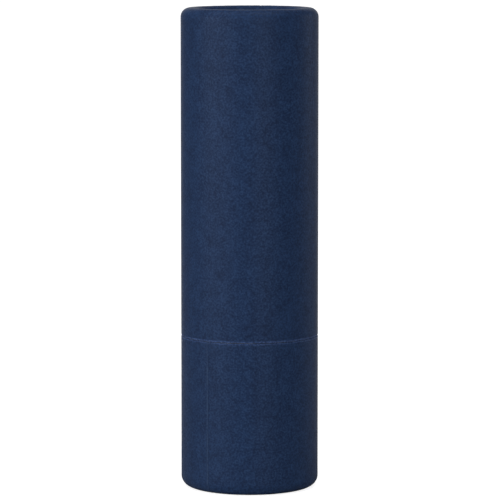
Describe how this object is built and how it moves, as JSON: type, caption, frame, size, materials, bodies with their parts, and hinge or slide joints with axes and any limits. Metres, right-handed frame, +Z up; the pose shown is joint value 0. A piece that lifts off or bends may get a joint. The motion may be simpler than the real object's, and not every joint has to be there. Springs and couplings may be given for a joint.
{
  "type": "lip balm stick",
  "caption": "Twist-up lip balm stick in a slim paper tube with rolled rims, a pull-off cap and a turning base that raises the balm.",
  "frame": {"origin": "centre of the foot's rolled rim, on the surface that the stick stands on", "axes": "+Z up along the tube's axis; -Y towards the viewer of the picture"},
  "size_m": [0.02, 0.02, 0.07],
  "materials": {
    "wrap_paper": "uncoated navy wrap paper, matt",
    "face_paper": "uncoated navy paper, matt",
    "tube_board": "grey tube board with cut edges",
    "disc_board": "grey board disc",
    "white_plastic": "white moulded polypropylene, satin",
    "balm_wax": "cast wax balm, soft satin"
  },
  "bodies": {
    "base": {"base_wrap": "wrap_paper", "base_board_tube": "tube_board", "base_end_face": "face_paper", "base_end_disc": "disc_board", "base_cup": "white_plastic", "spindle": "white_plastic"},
    "barrel": {"barrel": "white_plastic"},
    "carrier": {"elevator": "white_plastic", "balm": "balm_wax"},
    "cap": {"cap_wrap": "wrap_paper", "cap_board_tube": "tube_board", "cap_end_face": "face_paper", "cap_end_disc": "disc_board", "cap_liner": "white_plastic"}
  },
  "joints": [
    {"name": "barrel_twist", "type": "hinge", "parent": "base", "child": "barrel", "pos_m": [0, 0, 0.0054], "axis": [0, 0, -1], "range_deg": [0, 2475]},
    {"name": "balm_lift", "type": "slide", "parent": "barrel", "child": "carrier", "axis": [0, 0, 1], "range_m": [0, 0.0275]},
    {"name": "cap_pull", "type": "slide", "parent": "barrel", "child": "cap", "axis": [0, 0, 1], "range_m": [0, 0.05]}
  ],
  "couplings": [
    {"joint": "balm_lift", "follows": "barrel_twist", "m_per_rad": 0.00063662}
  ]
}
